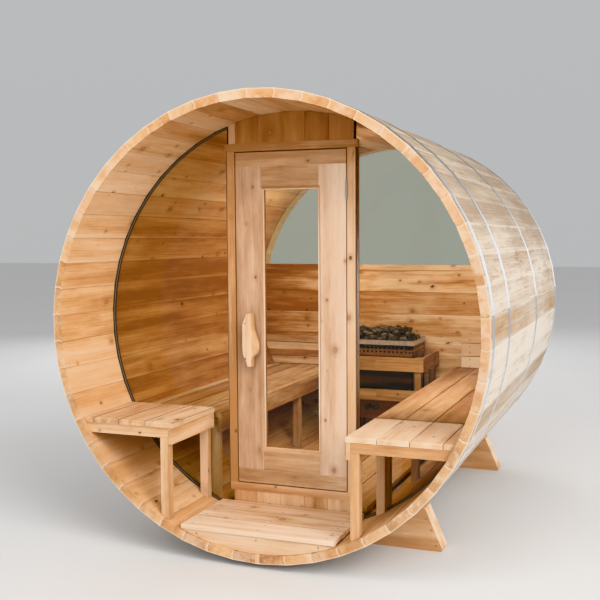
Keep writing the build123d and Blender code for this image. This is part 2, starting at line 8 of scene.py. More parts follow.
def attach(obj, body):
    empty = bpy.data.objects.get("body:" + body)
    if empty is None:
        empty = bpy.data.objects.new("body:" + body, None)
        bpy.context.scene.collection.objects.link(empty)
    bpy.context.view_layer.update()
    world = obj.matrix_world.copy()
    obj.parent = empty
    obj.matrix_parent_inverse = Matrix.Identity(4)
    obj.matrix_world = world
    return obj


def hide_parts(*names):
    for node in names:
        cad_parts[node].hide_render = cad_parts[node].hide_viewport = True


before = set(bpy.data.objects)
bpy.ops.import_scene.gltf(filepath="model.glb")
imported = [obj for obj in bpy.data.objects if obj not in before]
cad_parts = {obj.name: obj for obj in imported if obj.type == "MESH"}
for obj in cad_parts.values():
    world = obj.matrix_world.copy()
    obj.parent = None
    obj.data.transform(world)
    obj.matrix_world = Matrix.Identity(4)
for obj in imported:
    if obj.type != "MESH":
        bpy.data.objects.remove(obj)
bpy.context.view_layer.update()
print("frame loaded:", len(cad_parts), "nodes")

# measures that several pieces need, in metres, and the turn and pitch of the staves in degrees
barrel = {"axis": 1.0, "flat": 0.977, "inner": 0.939, "turn": 2.3, "pitch": 7.2}
room = {"front": -0.69, "back": 1.005}
bench = {"board": 0.1333, "edge": 0.3955, "leftEdge": 0.375, "top": 0.586, "leftTop": 0.556,
         "apron": 0.0202, "bearer": 0.067}
upward, forward = (0, 0, 1), (0, -1, 0)


# camera

camera = {"spot": (1.5512, -4.3887, 1.3729), "yaw": 20.0, "pitch": -4.6, "roll": -0.2,
          "focal": 886.9, "middle": (334.5, 310.6), "picture": 600, "sensor": 36}


def placeCamera(c):
    data = bpy.data.cameras.new("camera")
    eye = bpy.data.objects.new("camera", data)
    bpy.context.scene.collection.objects.link(eye)
    yaw, pitch, roll = (math.radians(c[k]) for k in ("yaw", "pitch", "roll"))
    ahead = Vector((-math.sin(yaw) * math.cos(pitch), math.cos(yaw) * math.cos(pitch),
                    math.sin(pitch)))
    level = Vector((math.cos(yaw), math.sin(yaw), 0))
    above = level.cross(ahead)
    right = level * math.cos(roll) + above * math.sin(roll)
    up = above * math.cos(roll) - level * math.sin(roll)
    turn = Matrix((right, up, -ahead)).transposed().to_4x4()
    eye.matrix_world = Matrix.Translation(c["spot"]) @ turn
    wide = c["picture"]
    data.sensor_width = c["sensor"]
    data.lens = c["focal"] / wide * c["sensor"]
    data.shift_x = (wide / 2 - c["middle"][0]) / wide
    data.shift_y = (c["middle"][1] - wide / 2) / wide
    data.clip_end = 100
    bpy.context.scene.camera = eye


placeCamera(camera)


# shader sums

class Wire:
    # one socket of a node tree, which takes part in ordinary sums

    def __init__(self, tree, socket):
        self.tree = tree
        self.socket = socket

    def node(self, kind, settings=None, values=None, out=0):
        made = self.tree.nodes.new("ShaderNode" + kind)
        for key, value in (settings or {}).items():
            if key == "stops":
                stops = made.color_ramp.elements
                while len(stops) < len(value):
                    stops.new(0.5)
                for stop, (spot, colour) in zip(stops, value):
                    stop.position = spot
                    stop.color = (*colour, 1)
            else:
                setattr(made, key, value)
        for key, value in (values or {}).items():
            if isinstance(value, Wire):
                self.tree.links.new(value.socket, made.inputs[key])
            else:
                made.inputs[key].default_value = value
        return Wire(self.tree, made.outputs[out])

    def sum(self, operation, *others, clamp=False):
        settings = {"operation": operation, "use_clamp": clamp}
        return self.node("Math", settings, dict(enumerate(others)))

    def __add__(self, other):
        return self.sum("ADD", self, other)

    def __sub__(self, other):
        return self.sum("SUBTRACT", self, other)

    def __rsub__(self, other):
        return self.sum("SUBTRACT", other, self)

    def __mul__(self, other):
        return self.sum("MULTIPLY", self, other)

    def __truediv__(self, other):
        return self.sum("DIVIDE", self, other)

    def __pow__(self, other):
        return self.sum("POWER", self, other)

    def __abs__(self):
        return self.sum("ABSOLUTE", self)

    def __gt__(self, other):
        return self.sum("GREATER_THAN", self, other)

    def __lt__(self, other):
        return self.sum("LESS_THAN", self, other)

    __radd__ = __add__
    __rmul__ = __mul__

    def floor(self):
        return self.sum("FLOOR", self)

    def fract(self):
        return self.sum("FRACT", self)

    def sin(self):
        return self.sum("SINE", self)

    def root(self):
        return self.sum("SQRT", self)

    def clamped(self):
        return self.sum("ADD", self, 0.0, clamp=True)

    def rise(self, low, high):
        # 0 below low, 1 above high, with a soft step between
        return self.node("MapRange", {"interpolation_type": "SMOOTHSTEP"},
                         {"Value": self, "From Min": low, "From Max": high})

    def pick(self, low, high):
        # number between two, with this one as the share of the second
        return self.node("Mix", {"data_type": "FLOAT"}, {0: self, 2: low, 3: high})

    def tint(self, under, over):
        # colour between two, with this one as the share of the second
        return self.node("Mix", {"data_type": "RGBA"},
                         {0: self, 6: colourOf(under), 7: colourOf(over)}, 2)

    def ramp(self, *stops):
        return self.node("ValToRGB", {"stops": stops}, {0: self})

    def apart(self):
        return [self.node("SeparateXYZ", None, {0: self}, n) for n in range(3)]

    def vector(self, x, y, z):
        return self.node("CombineXYZ", None, {0: x, 1: y, 2: z})

    def random(self):
        # three random numbers that go with this one
        return self.node("TexWhiteNoise", {"noise_dimensions": "1D"}, {"W": self}, 1).apart()

    def cloud(self, detail=2.0, roughness=0.5, scale=1.0):
        # noise at a vector
        return self.node("TexNoise", None, {"Vector": self, "Scale": scale, "Detail": detail,
                                            "Roughness": roughness})


def colourOf(value):
    return value if isinstance(value, Wire) else (*value, 1)


def stretched(spot, scales, *cloud):
    # noise with its own scale along each of the three axes
    x, y, z = (c * s for c, s in zip(spot, scales))
    return x.vector(x, y, z).cloud(*cloud)


def newMaterial(name, values):
    material = bpy.data.materials.new(name)
    material.use_nodes = True
    tree = material.node_tree
    shader = tree.nodes["Principled BSDF"]
    for key, value in values.items():
        shader.inputs[key].default_value = value
    outputs = tree.nodes.new("ShaderNodeTexCoord").outputs
    return material, shader, Wire(tree, outputs["Object"]), Wire(tree, outputs["Normal"])


def feed(shader, name, wire):
    wire.tree.links.new(wire.socket, shader.inputs[name])


def roughen(shader, height, strength, distance):
    values = {"Height": height, "Strength": strength, "Distance": distance}
    feed(shader, "Normal", height.node("Bump", None, values))


def finish(shader, colour, rough, *bump):
    feed(shader, "Base Color", colour)
    feed(shader, "Roughness", rough.clamped())
    if bump:
        roughen(shader, *bump)


def paint(material, *nodes):
    for node in nodes:
        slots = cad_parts[node].data.materials
        slots.clear()
        slots.append(material)


# woods: tones from pale to dark, then the share and colours of knots, the rings per metre,
# the contrast within a board and the spread from board to board

def shades(*colours, at=(0.0, 0.35, 0.65, 1.0)):
    return tuple(zip(at, colours))


cedarFront = {
    "tones": shades((0.77, 0.60, 0.44), (0.68, 0.475, 0.305), (0.56, 0.335, 0.175),
                    (0.36, 0.175, 0.07)),
    "red": (0.52, 0.26, 0.12), "live": (0.40, 0.18, 0.065), "knot": (0.075, 0.03, 0.011),
    "knots": 0.42, "rings": 80, "contrast": 0.60, "spread": 0.50, "roughness": 0.58}
cedarInside = {
    "tones": shades((0.72, 0.48, 0.25), (0.60, 0.335, 0.145), (0.44, 0.20, 0.07),
                    (0.24, 0.085, 0.023)),
    "red": (0.38, 0.14, 0.04), "live": (0.30, 0.115, 0.032), "knot": (0.045, 0.015, 0.005),
    "knots": 0.48, "rings": 75, "contrast": 0.62, "spread": 0.50, "roughness": 0.55}
staveWood = dict(cedarFront, knots=0.60, tones=shades(
    (0.78, 0.58, 0.39), (0.70, 0.455, 0.26), (0.57, 0.32, 0.145), (0.36, 0.16, 0.055)))
cedarShade = dict(cedarFront, red=(0.30, 0.10, 0.03), contrast=0.7, tones=shades(
    (0.52, 0.29, 0.12), (0.40, 0.185, 0.062), (0.22, 0.075, 0.02), at=(0.0, 0.45, 1.0)))
cedarPale = dict(cedarFront, contrast=0.68, tones=shades(
    (0.82, 0.67, 0.51), (0.73, 0.545, 0.38), (0.61, 0.40, 0.235), (0.38, 0.20, 0.095)))
cedarDeck = dict(cedarPale, contrast=0.75, tones=shades(
    (0.90, 0.78, 0.64), (0.81, 0.65, 0.49), (0.69, 0.485, 0.31), (0.43, 0.245, 0.125)))
# the door's woods get painted shade that grows towards the left, and the frame painted shade under
# the porch ceiling
doorPost = dict(cedarFront, knot=(0.17, 0.08, 0.032), shadeToLeft=0.7, base=0.12, shade=0.45)
doorStile = dict(cedarPale, knots=0.66, contrast=0.55, spread=0.1, shadeToLeft=1.3, base=0.10,
                 knot=(0.20, 0.10, 0.042), tones=shades(
    (0.80, 0.66, 0.52), (0.69, 0.53, 0.40), (0.50, 0.34, 0.23), (0.30, 0.175, 0.10),
    at=(0.0, 0.30, 0.65, 1.0)))
doorRail = dict(doorStile, spread=0.22, shadeToLeft=0.3, base=0.27, tones=shades(
    (0.80, 0.65, 0.49), (0.69, 0.51, 0.36), (0.51, 0.33, 0.19), (0.31, 0.165, 0.08),
    at=(0.0, 0.30, 0.65, 1.0)))
cedarBench = dict(cedarInside, contrast=0.75, tones=shades(
    (0.76, 0.55, 0.36), (0.64, 0.42, 0.24), (0.48, 0.265, 0.125), (0.27, 0.115, 0.045)))
# a darker copy of the bench wood, for the right room bench
darkerBench = dict(cedarBench, base=0.2, tones=shades(
    (0.66, 0.45, 0.28), (0.53, 0.32, 0.175), (0.40, 0.205, 0.10), (0.23, 0.095, 0.04)))
cedarWall = dict(cedarInside, contrast=0.90, knots=0.70, tones=shades(
    (0.84, 0.65, 0.44), (0.72, 0.49, 0.29), (0.54, 0.29, 0.125), (0.30, 0.11, 0.03)))
guardCedar = dict(cedarInside, contrast=1.0, tones=shades(
    (0.52, 0.30, 0.125), (0.33, 0.165, 0.055), (0.13, 0.05, 0.013), at=(0.0, 0.45, 1.0)))
cradleCedar = dict(cedarInside, endTone=-0.4, spread=0.2, knots=0.6, tones=shades(
    (0.88, 0.71, 0.52), (0.71, 0.47, 0.28), (0.60, 0.36, 0.19), (0.38, 0.19, 0.08),
    at=(0.0, 0.25, 0.5, 1.0)))
# bare wood after years in the weather on the flanks, and browner tones for the top
weathered, topTones = (shades(*tones, at=(0.0, 0.30, 0.60, 0.85, 1.0)) for tones in (
    ((0.68, 0.61, 0.53), (0.56, 0.465, 0.375), (0.46, 0.35, 0.245), (0.42, 0.26, 0.14),
     (0.32, 0.175, 0.08)),
    ((0.47, 0.38, 0.285), (0.35, 0.265, 0.18), (0.275, 0.19, 0.12), (0.32, 0.18, 0.095),
     (0.23, 0.125, 0.065))))

# the grain: cells per metre for knots and pin knots, and clouds as scales, detail and roughness
weave = {"cells": (4.2, 9.0, 1.7), "pins": (9.0, 20.0, 1.3), "pinShare": 0.62,
         "wobble": ((3.0, 3.0, 0.75), 1.5), "broad": ((13.0, 10.0, 1.1), 1.5, 0.5),
         "streak": ((46.0, 36.0, 2.2), 3.0, 0.68), "patch": ((24.0, 20.0, 6.5), 3.0, 0.66),
         "fibre": ((210.0, 210.0, 5.0), 2.0, 0.6)}


def findKnots(look, u, w, number, end):
    # knots in some of the cells along the board: heart, bark and halo, and how far off across
    along, aside, salt = weave["cells"]
    cell = w.vector(w * along, u * aside, number * salt)
    spots = {"voronoi_dimensions": "3D"}
    inCell = {"Vector": cell, "Scale": 1.0, "Randomness": 0.9}
    hue = cell.node("TexVoronoi", spots, inCell, 1).apart()
    spot = cell.node("TexVoronoi", spots, inCell, 2).apart()
    offAlong = w - spot[0] / along
    offAcross = u - spot[1] / aside
    there = (hue[0] > 1 - look["knots"]) * (1 - end)
    dead = hue[2] > 0.66
    size = 0.0042 + hue[1] * hue[1] * 0.0105 - dead * hue[1] * 0.0045
    rough = w.vector(u * 90.0, w * 90.0, number).cloud(1.0)
    away = (offAlong * offAlong * 0.6 + offAcross * offAcross).root() / size + (rough - 0.5) * 0.7
    core = (1 - away.rise(0.8, 1.15)) * there
    bark = away.rise(0.55, 0.95) * core * (rough * 1.6 - 0.25).clamped()
    halo = (1 - away.rise(0.8, 3.8)) * there
    heart = ((away * 16.0 + rough * 5.0).sin() * 0.25 + 0.60) * core
    # and small pin knots in cells of their own
    along, aside, salt = weave["pins"]
    pins = w.vector(w * along, u * aside, number * salt)
    inPins = {"Vector": pins, "Scale": 1.0, "Randomness": 1.0}
    lot = pins.node("TexVoronoi", spots, inPins, 1).apart()[0]
    off = pins.node("TexVoronoi", spots, inPins).rise(0.035, 0.085)
    pin = (1 - off) * (lot > 1 - look["knots"] * weave["pinShare"]) * (1 - end)
    return heart, bark, halo, (bark + core * dead + pin * 0.5).clamped(), offAcross


def grain(look, across, deep, along, number, end):
    # tone, knots, bump height and redness of one board, from the place in it
    a, b, c = number.random()
    u = across + a * 3.1
    v = deep + b * 2.3
    w = along + c * 17.0
    heart, bark, halo, dark, offAcross = findKnots(look, u, w, number, end)
    # growth rings round a pith that lies behind the board
    wobble = stretched((u, v, w), *weave["wobble"])
    x = across - (a - 0.5) * 0.17 - offAcross * halo * 0.75
    y = deep + 0.018 + b * 0.10
    rings = ((x * x + y * y).root() + (wobble - 0.5) * 0.05) * look["rings"]
    swirl = u + (wobble - 0.5) * 0.06
    broad, streak = (stretched((swirl, v, w), *weave[name]) for name in ("broad", "streak"))
    patch, fibre = (stretched((u, v, w), *weave[name]) for name in ("patch", "fibre"))
    late = (rings * 6.2832 + streak * 5.0).sin() * 0.5 + 0.5
    k = look["contrast"]
    tone = 0.46 + (c - 0.5) * look["spread"] + (broad - 0.5) * (1.9 * k)
    tone = tone + (patch - 0.5) * (1.05 * k) + (streak - 0.5) * (1.15 * k)
    tone = tone + (late * late - 0.38) * (0.13 * k) * (1 - end * 0.5)
    tone = tone + (fibre - 0.5) * (0.62 * k) + end * look.get("endTone", 0.12)
    height = fibre * 0.6 + late * 0.4 - bark * 0.6
    return tone, (heart, dark, halo), height, b


def woodColour(look, tone, knot, red):
    heart, dark, halo = knot
    colour = (red * 0.40).tint(tone.ramp(*look["tones"]), look["red"])
    colour = (halo * 0.42).tint(colour, look["tones"][-1][1])
    colour = heart.tint(colour, look["live"])
    return (dark * 0.88).tint(colour, look["knot"])


def finishWood(shader, look, height):
    feed(shader, "Roughness", (height * 0.18 + (look["roughness"] - 0.09)).clamped())
    roughen(shader, height, 0.30, 0.0012)


def woodMaterial(name, look, layout):
    material, shader, place, normal = newMaterial(name, {"Specular IOR Level": 0.35})
    x, y, z = place.apart()
    facing = [abs(n) for n in normal.apart()]
    across, deep, along, number, end = layout(x, y, z, facing)
    tone, knot, height, red = grain(look, across, deep, along, number, end.rise(0.6, 0.8))
    if "base" in look:
        # darker or paler as a whole, with painted shade that grows towards the left and painted
        # shade under the porch ceiling
        ceilingShade = z.rise(1.68, 1.80) * look.get("shade", 0)
        tone = tone + look["base"] - x * look.get("shadeToLeft", 0) + ceilingShade
    colour = woodColour(look, tone, knot, red)
    if "strip" in look:
        # pale beyond the left edge of the door
        pale = woodColour(cedarPale, tone + 0.1, knot, red)
        colour = (x < look["strip"]).tint(colour, pale)
    finishWood(shader, look, height)
    if "edge" in look:
        # painted shade along the gaps between the boards, patchy, on their tops
        paintedTopShading = (place.cloud(2.0, 0.6, 30.0) * 0.5 + 0.45) * (facing[2] > 0.6)
        gap = abs(across).rise(look["edge"] - 0.0025, look["edge"])
        colour = (gap * paintedTopShading).tint(colour, look["knot"])
    feed(shader, "Base Color", colour)
    return material


# staves: where black painted shade lies on the staves in front of the pane seals, and half the
# width of the bead
paintedSealShade = {"front": (-0.7050, -0.7040), "back": (-0.6905, -0.6900), "radius": 0.9425,
           "doorway": 0.31}
beadHalf = 0.012


def sunBleached(spot, up, across, number, tone):
    # the outside, more bleached on some boards than on others, and brown on top
    x, y, z = spot
    turns = number.random()
    drift = stretched(spot, (0.9, 1.6, 0.9), 2.0, 0.5)
    chatter = stretched(spot, (9.0, 95.0, 9.0), 2.0, 0.6)
    torn = x.vector(across * 34.0, y * 3.2, number).cloud(4.0, 0.68).rise(0.53, 0.60)
    sunny = (up * -0.9 + x * 0.2).rise(-0.6, 0.9)
    bleach = (tone - 0.46) * 0.85 + 0.36 + (turns[0] - 0.5) * (0.40 + sunny * 0.65)
    bleach = bleach + (drift - 0.5) * 0.7 + (chatter - 0.5) * 0.40
    bleach = bleach + (torn - 0.35) * turns[2] * 0.42 + 0.08
    bleach = bleach - abs(across).rise(0.044, 0.058) * (torn * -0.6 + 0.9) * 0.28
    top = up.rise(0.0, 0.60) * 0.95
    return top.tint(bleach.ramp(*weathered), (bleach + 0.1).ramp(*topTones))


def drawJoints(spot, colour, radius, steps, arc, ends, outside):
    # joints, bowed like the bead on the rim, some tight and some open
    middle = radius - (barrel["flat"] + barrel["inner"]) / 2
    bow = (1 - middle * middle / beadHalf ** 2).clamped() * 0.0035
    shifted = steps - bow / arc + 0.5
    edge = shifted.fract() - 0.5
    line = abs(edge) * arc
    tight, shaded, rimEdgeHighlight = shifted.floor().random()
    gap = stretched(spot, (2.0, 3.0, 2.0), 1.0)
    joint = (1 - line.rise(0.0003, 0.0014)) * (0.25 + tight * 0.45 + (gap - 0.5) * 0.5).clamped()
    shade = (1 - line.rise(0.0, 0.009)) * shaded * 0.22
    colour = (shade * (1 - outside)).tint(colour, staveWood["tones"][-1][1])
    # painted highlight beside each joint on the rim, stronger at some joints
    nose = (1 - line.rise(0.004, 0.011)) * (edge > 0) * 0.55 * ends
    colour = (nose * rimEdgeHighlight.pick(0.4, 1.0)).tint(colour, (0.86, 0.72, 0.55))
    onRim = (1 - line.rise(0.0004, 0.0016)) * 0.6
    joint = ends.pick(joint * (1 - outside * 0.35), onRim)
    return joint.tint(colour, staveWood["knot"])


def staveMaterial():
    # coopered staves: bare inside, bleached by the sun outside, end grain on the rims
    material, shader, place, normal = newMaterial("coopered staves", {"Specular IOR Level": 0.35})
    spot = place.apart()
    x, y, z = spot
    up = z - barrel["axis"]
    radius = (x * x + up * up).root()
    angle = x.sum("ARCTAN2", x, up) * (180 / math.pi)
    steps = (angle - barrel["turn"]) / barrel["pitch"] + 50.5
    number, share = steps.floor(), steps.fract()
    arc = math.radians(barrel["pitch"]) * (barrel["flat"] + barrel["inner"]) / 2
    across = (share - 0.5) * arc
    nx, ny, nz = normal.apart()
    ends = abs(ny).rise(0.4, 0.7)
    bare = 1 - ends
    tone, knot, height, red = grain(staveWood, across, radius - barrel["flat"], y, number, ends)
    sawn = stretched(spot, (26.0, 26.0, 26.0), 3.0, 0.65)
    tone = tone + ends * ((sawn - 0.5) * 0.8 + (share - 0.5) * 0.24 + 0.06)
    # painted highlight along the bead edge of each stave, and painted shade along its other edge
    bead = (1 - share.rise(0.03, 0.16)) * 0.20 - share.rise(0.86, 0.99) * 0.10
    tone = tone - bead * bare
    colour = woodColour(staveWood, tone, knot, red)
    finishWood(shader, staveWood, height)
    # the rim: painted shade, browner, on the right, and chalky in places
    chalk = stretched(spot, (13.0, 13.0, 13.0), 4.0, 0.7).rise(0.47, 0.62)
    colour = (x.rise(0.1, 0.7) * ends * 0.42).tint(colour, (0.40, 0.265, 0.16))
    colour = (chalk * ends * 0.38).tint(colour, (0.78, 0.65, 0.53))
    outside = ((nx * x + nz * up) / radius).rise(0.35, 0.6)
    within = (1 - outside) * bare
    silver = sunBleached(spot, up, across, number, tone)
    colour = outside.tint(colour, (knot[1] * 0.6).tint(silver, (0.20, 0.12, 0.07)))
    # inside the room the wood is warmer, with painted shade low in the left corner and on the left
    # wall
    corner = (1 - z.rise(0.45, 0.95)) * (1 - x.rise(-0.75, -0.45)) * (1 - outside) * 0.22
    colour = (corner * 2.0).tint(colour, (0.42, 0.20, 0.075))
    indoors = (y > room["front"]) * (y < room["back"]) * within
    leftWallShade = (1 - x.rise(-0.88, -0.66)) * 0.26
    colour = indoors.tint(colour, woodColour(cedarInside, tone + corner + leftWallShade, knot, red))
    colour = ((y > room["back"]) * within * 0.6).tint(colour, (0.90, 0.60, 0.33))
    colour = drawJoints(spot, colour, radius, steps, arc, ends, outside)
    # black painted shade on the staves in front of the pane seals
    sealBandShade = y.rise(*paintedSealShade["front"]) * (1 - y.rise(*paintedSealShade["back"])) * (radius < paintedSealShade["radius"])
    sealBandShade = sealBandShade * bare * (abs(x) > paintedSealShade["doorway"])
    colour = (sealBandShade * 0.94).tint(colour, (0.018, 0.016, 0.014))
    # painted highlight: the outer edge of the rim pale
    rimEdgeHighlight = radius.rise(0.9715, 0.9765) * ends * 0.5
    feed(shader, "Base Color", rimEdgeHighlight.tint(colour, (0.80, 0.66, 0.50)))
    return material


# layouts: each gives the place across, deep and along in a board, the board's number and how far
# the surface is end grain. The numbers only have to differ from board to board

doorSplits = {"head": 1.7704, "sill": 0.2406, "topRail": 1.7033, "bottomRail": 0.3102,
              "pith": (0.33, 1.67)}
guardSplits = {"side": 0.2668, "front": 0.6102, "back": 0.6103}


def boardsAcrossX(start, pitch, salt, upright=True):
    # boards side by side along X, running up or back
    def layout(x, y, z, facing):
        steps = (x - start) / pitch
        across = (steps.fract() - 0.5) * pitch
        number = steps.floor() + salt
        if upright:
            return across, y, z, number, facing[2]
        return across, z, y, number, facing[1]
    return layout


def boardsAlongX(start, pitch, salt, flat=False):
    # boards that run from side to side, stacked up the wall or laid one behind the other
    def layout(x, y, z, facing):
        steps = ((y if flat else z) - start) / pitch
        number = steps.floor() + salt
        return (steps.fract() - 0.5) * pitch, (z if flat else y), x, number, facing[0]
    return layout


def benchSide(x, y):
    # which side of the aisle, in the room or not, and how far from the bench's edge
    side = x > 0
    indoors = y > room["front"]
    left = indoors * (1 - side)
    return side, indoors, left, abs(x) - left.pick(bench["edge"], bench["leftEdge"])


def benchBoards(x, y, z, facing):
    # the same boards left and right of the aisle, with other numbers on each side and in the room
    side, indoors, left, off = benchSide(x, y)
    steps = off / bench["board"]
    number = steps.floor() + side * 11 + indoors * 23
    return (steps.fract() - 0.5) * bench["board"], z, y, number, facing[1]


def benchFrame(x, y, z, facing):
    # legs upright, bearers crosswise, the apron along the aisle
    side, indoors, left, off = benchSide(x, y)
    top = left.pick(bench["top"], bench["leftTop"])
    apron = off < bench["apron"]
    leg = (z < top - bench["bearer"]) * (1 - apron)
    number = (y * 4.1).floor() + side * 7 + leg * 13 + apron * 29 + indoors * 41
    number = apron.pick(number, side * 3 + indoors * 5 + 61)
    along = apron.pick(leg.pick(x, z), y)
    across = apron.pick(leg.pick(z, y), z)
    deep = apron.pick(leg.pick(y, x), x)
    end = apron.pick(leg.pick(facing[0], facing[2]), facing[1])
    return across, deep, along, number, end


def doorFrame(x, y, z, facing):
    # jambs upright between the head and the sill
    bar = (z > doorSplits["head"]) + (z < doorSplits["sill"])
    number = bar.pick((x > 0) + 3, (z > 1) + 17)
    return bar.pick(x, z), y, bar.pick(z, x), number, bar.pick(facing[2], facing[0])


def doorRails(x, y, z, facing):
    # the outer rails run over the whole door, the inner ones between the stiles
    upper = z > 1
    number = upper * 7 + (z > doorSplits["topRail"]) * 3 + (z < doorSplits["bottomRail"]) * 5 + 71
    return z - upper.pick(*doorSplits["pith"]), y, x, number, facing[0]


def guardWood(x, y, z, facing):
    # posts upright, rails along the front and the sides
    post = (abs(x) < guardSplits["side"]) * (y > guardSplits["back"])
    front = y < guardSplits["front"]
    number = (z * 5.3).floor() + (x > 0) * 9 + front * 21 + post * 37
    along = post.pick(front.pick(y, x), z)
    across = post.pick(z, x)
    deep = post.pick(front.pick(x, y), y)
    end = post.pick(front.pick(facing[1], facing[0]), facing[2])
    return across, deep, along, number, end


# material, wood, layout and the nodes it goes on
woods = (
    ("boards over the door", dict(cedarShade, strip=-0.267),
     boardsAcrossX(-0.267, 0.1138, 5), "transom_boards"),
    ("boards under the sill", dict(cedarFront, spread=0.95, base=0.30),
     boardsAcrossX(-0.293, 0.1172, 31), "lower_boards"),
    ("door frame cedar", doorPost, doorFrame, "door_frame", "door_stops"),
    ("door stiles", doorStile, boardsAcrossX(-0.6, 0.6, 51), "door_stiles"),
    ("door rails", doorRail, doorRails, "door_rails"),
    # painted shade on the rear wall, growing towards the left
    ("rear wall cedar", dict(cedarWall, spread=0.36, shadeToLeft=0.40, base=0.05),
     boardsAlongX(1.178, 0.137, 90), "rear_boards", "rear_cap"),
    ("deck boards", dict(cedarDeck, edge=0.0645),
     boardsAlongX(-1.110, 0.133, 101, True), "deck_boards"),
    ("fascia plank", dict(cedarPale, spread=0.1), boardsAlongX(-0.3, 1.0, 120), "deck_fascia"),
    ("deck joists", cedarFront, boardsAlongX(-1.2, 0.1, 131, True), "deck_joists"),
    ("bench boards", dict(cedarPale, edge=0.065), benchBoards,
     "porch_bench_left", "porch_bench_right"),
    ("porch bench frames", cedarFront, benchFrame,
     "porch_bench_frame_left", "porch_bench_frame_right"),
    ("left room bench boards", dict(cedarBench, edge=0.065), benchBoards, "inner_bench_left"),
    ("right room bench boards", dict(darkerBench, edge=0.065), benchBoards, "inner_bench_right"),
    ("room bench frames", cedarBench, benchFrame,
     "inner_bench_frame_left", "inner_bench_frame_right"),
    ("duckboards", cedarInside, boardsAcrossX(-0.350, 0.140, 151, False), "floor_boards"),
    ("floor joists", cedarInside, boardsAlongX(-1.2, 0.1, 171, True), "floor_joists"),
    ("backrest slats", dict(cedarFront, spread=0.3, base=-0.24),
     boardsAlongX(0.8200, 0.081, 190), "backrest"),
    ("heater guard wood", guardCedar, guardWood, "heater_guard"),
    ("cradle planks", cradleCedar, boardsAlongX(-0.05, 0.5, 201), "cradle_front", "cradle_rear"),
)

paint(staveMaterial(), *(f"staves_{n:02d}" for n in range(1, 11)))
for materialName, wood, layout, *nodeNames in woods:
    paint(woodMaterial(materialName, wood, layout), *nodeNames)
print("woods painted")


# glass, rubber and metal

galvanised = {"bright": ((0.3, (0.72, 0.75, 0.79)), (0.7, (0.93, 0.95, 0.97))),
              "darkReflection": ((0.3, (0.20, 0.21, 0.23)), (0.7, (0.36, 0.37, 0.39))), "top": (1.25, 1.75)}
heaterSheet = {"paintedReflection": ((0.10, (0.035, 0.023, 0.015)), (0.50, (0.22, 0.10, 0.036)),
                        (0.85, (0.56, 0.30, 0.13))),
               "rimHighlightTones": ((0.3, (0.36, 0.29, 0.23)), (0.7, (0.80, 0.72, 0.62))),
               "rim": (0.7445, 0.7475), "ventMiddle": 0.63, "ventPitch": 0.026, "ventShare": 0.24,
               # height and half height of each row of vents
               "ventRows": ((0.728, 0.008), (0.705, 0.005))}
paneSeal = {"radius": 0.9342, "lip": (0.0026, 0.0034)}


def glassMaterial(name, tint):
    # a pane: see-through with a little tint, and mirror-like where it is seen at a slant
    values = {"Base Color": (0.50, 0.52, 0.52, 1), "Metallic": 1.0}
    material, shader, place, normal = newMaterial(name, values)
    smear = place.cloud(3.0, 0.6, 5.0)
    feed(shader, "Roughness", 0.02 + smear * 0.05)
    clear = place.node("BsdfTransparent", None, {"Color": (*tint, 1)})
    share = place.node("LayerWeight", None, {"Blend": 0.5}, 1) ** 5.0 * 0.95 + 0.045
    mirror = Wire(clear.tree, shader.outputs[0])
    both = place.node("MixShader", None, {0: share, 1: clear, 2: mirror})
    output = material.node_tree.nodes["Material Output"]
    clear.tree.links.new(both.socket, output.inputs["Surface"])
    return material


def metalMaterial(name, pale, dark, rough, brush, blotch):
    # brushed along the axis with the smallest scale, with blotches of another grey
    material, shader, place, normal = newMaterial(name, {"Metallic": 1.0})
    lines = stretched(place.apart(), brush, 3.0, 0.6, 60.0)
    patch = place.cloud(3.0, 0.6, blotch)
    mixed = lines * 0.5 + patch * 0.5
    colour = mixed.ramp((0.3, dark), (0.7, pale))
    finish(shader, colour, rough - 0.08 + mixed * 0.2, lines, 0.08, 0.0004)
    return material


def hoopMaterial(h):
    # galvanised strip, with a painted dark reflection on top
    material, shader, place, normal = newMaterial("galvanised hoops", {"Metallic": 1.0})
    z = place.apart()[2]
    spangle = place.cloud(3.0, 0.7, 40.0)
    patch = place.cloud(3.0, 0.6, 6.0)
    darkReflection = (z + (patch - 0.5) * 0.5).rise(*h["top"])
    mixed = spangle * 0.5 + patch * 0.5
    colour = darkReflection.tint(mixed.ramp(*h["bright"]), mixed.ramp(*h["darkReflection"]))
    finish(shader, colour, mixed * 0.2 + darkReflection * 0.12 + 0.14, spangle, 0.08, 0.0004)
    return material


